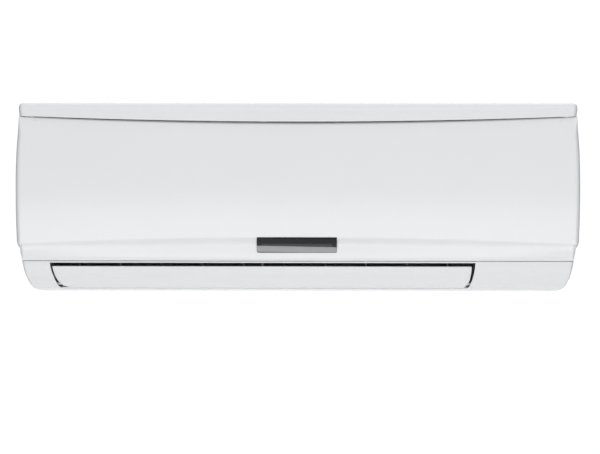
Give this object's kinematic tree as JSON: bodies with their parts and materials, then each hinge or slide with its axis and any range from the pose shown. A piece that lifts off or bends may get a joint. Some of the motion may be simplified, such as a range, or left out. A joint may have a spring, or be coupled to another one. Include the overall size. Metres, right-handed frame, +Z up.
{
  "type": "mini split indoor unit",
  "caption": "Wall-hung white indoor unit of a split air conditioner, with a bowed front panel that lifts, a dark display window and a motor-driven air louver.",
  "frame": {"origin": "centre of the wall plate's back face, on the wall", "axes": "+X along the unit to the right as seen from the room, +Y into the wall, +Z up"},
  "size_m": [0.79, 0.1771, 0.265],
  "materials": {
    "white_gloss": "glossy moulded white",
    "white_satin": "satin moulded white",
    "inner_plastic": "matt moulded off-white",
    "smoked_window": "polished smoked acrylic",
    "filter_plastic": "matt",
    "filter_net": "fine woven net",
    "fin_aluminium": "thin bare fins",
    "copper": "bright drawn copper",
    "brass_nut": "machined",
    "zinc_steel": "zinc coated",
    "shaft_steel": "ground",
    "black_rubber": "matt",
    "fan_plastic": "matt",
    "motor_resin": "moulded resin",
    "board_green": "solder mask",
    "component_black": "moulded",
    "terminal_ivory": "moulded",
    "vane_plastic": "matt"
  },
  "bodies": {
    "frame": {"wall_plate": "zinc_steel", "rear_chassis": "inner_plastic", "front_case": "white_gloss", "inlet_grille": "white_satin", "drain_tray": "inner_plastic", "drain_plug": "black_rubber", "screw_caps": "white_satin", "case_screws": "zinc_steel", "evaporator_fins": "fin_aluminium", "evaporator_tubes": "copper", "return_bends": "copper", "coil_end_plates": "zinc_steel", "gas_pipe": "copper", "liquid_pipe": "copper", "gas_flare_nut": "brass_nut", "liquid_flare_nut": "brass_nut", "pipe_clamp": "inner_plastic", "pipe_sensor": "copper", "bearing_bush": "brass_nut", "bearing_rubber": "black_rubber", "fan_motor": "motor_resin", "motor_rubber_rings": "black_rubber", "motor_clamp": "inner_plastic", "control_box": "inner_plastic", "control_box_cover": "zinc_steel", "main_board": "board_green", "board_components": "component_black", "terminal_block": "terminal_ivory", "terminal_screws": "zinc_steel", "cable_clamp": "inner_plastic", "wiring_cover": "white_satin", "small_screws": "zinc_steel", "display_housing": "white_satin", "display_board": "board_green", "louver_motor": "zinc_steel"},
    "panel": {"front_panel": "white_gloss", "display_window": "smoked_window"},
    "louver": {"louver_flap": "white_gloss", "louver_drive_shaft": "shaft_steel"},
    "fan": {"fan_wheel": "fan_plastic", "fan_set_screw": "zinc_steel", "fan_stub_shaft": "shaft_steel", "motor_shaft": "shaft_steel"},
    "filter_left": {"filter_frame_left": "filter_plastic", "filter_mesh_left": "filter_net"},
    "filter_right": {"filter_frame_right": "filter_plastic", "filter_mesh_right": "filter_net"},
    "button": {"emergency_button": "white_satin"},
    "link_left": {"link_bar_left": "vane_plastic"},
    "link_right": {"link_bar_right": "vane_plastic"},
    "vane_left_1": {"vane_left_1": "vane_plastic"},
    "vane_left_2": {"vane_left_2": "vane_plastic"},
    "vane_left_3": {"vane_left_3": "vane_plastic"},
    "vane_left_4": {"vane_left_4": "vane_plastic"},
    "vane_left_5": {"vane_left_5": "vane_plastic"},
    "vane_right_1": {"vane_right_1": "vane_plastic"},
    "vane_right_2": {"vane_right_2": "vane_plastic"},
    "vane_right_3": {"vane_right_3": "vane_plastic"},
    "vane_right_4": {"vane_right_4": "vane_plastic"},
    "vane_right_5": {"vane_right_5": "vane_plastic"}
  },
  "joints": [
    {"name": "panel_hinge", "type": "hinge", "parent": "frame", "child": "panel", "pos_m": [0, -0.156, 0.0995], "axis": [-1, 0, 0], "range_deg": [0, 50]},
    {"name": "louver_pivot", "type": "hinge", "parent": "frame", "child": "louver", "pos_m": [0, -0.1185, -0.122], "axis": [1, 0, 0], "range_deg": [0, 75]},
    {"name": "fan_spin", "type": "hinge", "parent": "frame", "child": "fan", "pos_m": [0, -0.076, -0.0345], "axis": [1, 0, 0], "continuous": true},
    {"name": "filter_left_slide", "type": "slide", "parent": "frame", "child": "filter_left", "axis": [0, 0, 1], "range_m": [0, 0.006]},
    {"name": "filter_right_slide", "type": "slide", "parent": "frame", "child": "filter_right", "axis": [0, 0, 1], "range_m": [0, 0.006]},
    {"name": "button_press", "type": "slide", "parent": "frame", "child": "button", "axis": [0, 1, 0], "range_m": [0, 0.001], "stiffness_N_per_m": 300, "springref_m": -0.001},
    {"name": "vane_left_1_turn", "type": "hinge", "parent": "frame", "child": "vane_left_1", "pos_m": [-0.31, -0.07973, -0.11041], "axis": [0, -0.5, 0.866], "range_deg": [-35, 35]},
    {"name": "vane_left_2_turn", "type": "hinge", "parent": "frame", "child": "vane_left_2", "pos_m": [-0.252, -0.07973, -0.11041], "axis": [0, -0.5, 0.866], "range_deg": [-35, 35]},
    {"name": "vane_left_3_turn", "type": "hinge", "parent": "frame", "child": "vane_left_3", "pos_m": [-0.194, -0.07973, -0.11041], "axis": [0, -0.5, 0.866], "range_deg": [-35, 35]},
    {"name": "vane_left_4_turn", "type": "hinge", "parent": "frame", "child": "vane_left_4", "pos_m": [-0.136, -0.07973, -0.11041], "axis": [0, -0.5, 0.866], "range_deg": [-35, 35]},
    {"name": "vane_left_5_turn", "type": "hinge", "parent": "frame", "child": "vane_left_5", "pos_m": [-0.078, -0.07973, -0.11041], "axis": [0, -0.5, 0.866], "range_deg": [-35, 35]},
    {"name": "link_left_swing", "type": "hinge", "parent": "vane_left_1", "child": "link_left", "pos_m": [-0.31, -0.07031, -0.09873], "axis": [0, -0.5, 0.866], "range_deg": [-35, 35]},
    {"name": "vane_right_1_turn", "type": "hinge", "parent": "frame", "child": "vane_right_1", "pos_m": [-0.02, -0.07973, -0.11041], "axis": [0, -0.5, 0.866], "range_deg": [-35, 35]},
    {"name": "vane_right_2_turn", "type": "hinge", "parent": "frame", "child": "vane_right_2", "pos_m": [0.038, -0.07973, -0.11041], "axis": [0, -0.5, 0.866], "range_deg": [-35, 35]},
    {"name": "vane_right_3_turn", "type": "hinge", "parent": "frame", "child": "vane_right_3", "pos_m": [0.096, -0.07973, -0.11041], "axis": [0, -0.5, 0.866], "range_deg": [-35, 35]},
    {"name": "vane_right_4_turn", "type": "hinge", "parent": "frame", "child": "vane_right_4", "pos_m": [0.154, -0.07973, -0.11041], "axis": [0, -0.5, 0.866], "range_deg": [-35, 35]},
    {"name": "vane_right_5_turn", "type": "hinge", "parent": "frame", "child": "vane_right_5", "pos_m": [0.212, -0.07973, -0.11041], "axis": [0, -0.5, 0.866], "range_deg": [-35, 35]},
    {"name": "link_right_swing", "type": "hinge", "parent": "vane_right_1", "child": "link_right", "pos_m": [-0.02, -0.07031, -0.09873], "axis": [0, -0.5, 0.866], "range_deg": [-35, 35]}
  ],
  "couplings": [
    {"joint": "vane_left_2_turn", "follows": "vane_left_1_turn", "ratio": 1},
    {"joint": "vane_left_3_turn", "follows": "vane_left_1_turn", "ratio": 1},
    {"joint": "vane_left_4_turn", "follows": "vane_left_1_turn", "ratio": 1},
    {"joint": "vane_left_5_turn", "follows": "vane_left_1_turn", "ratio": 1},
    {"joint": "link_left_swing", "follows": "vane_left_1_turn", "ratio": -1},
    {"joint": "vane_right_2_turn", "follows": "vane_right_1_turn", "ratio": 1},
    {"joint": "vane_right_3_turn", "follows": "vane_right_1_turn", "ratio": 1},
    {"joint": "vane_right_4_turn", "follows": "vane_right_1_turn", "ratio": 1},
    {"joint": "vane_right_5_turn", "follows": "vane_right_1_turn", "ratio": 1},
    {"joint": "link_right_swing", "follows": "vane_right_1_turn", "ratio": -1}
  ]
}
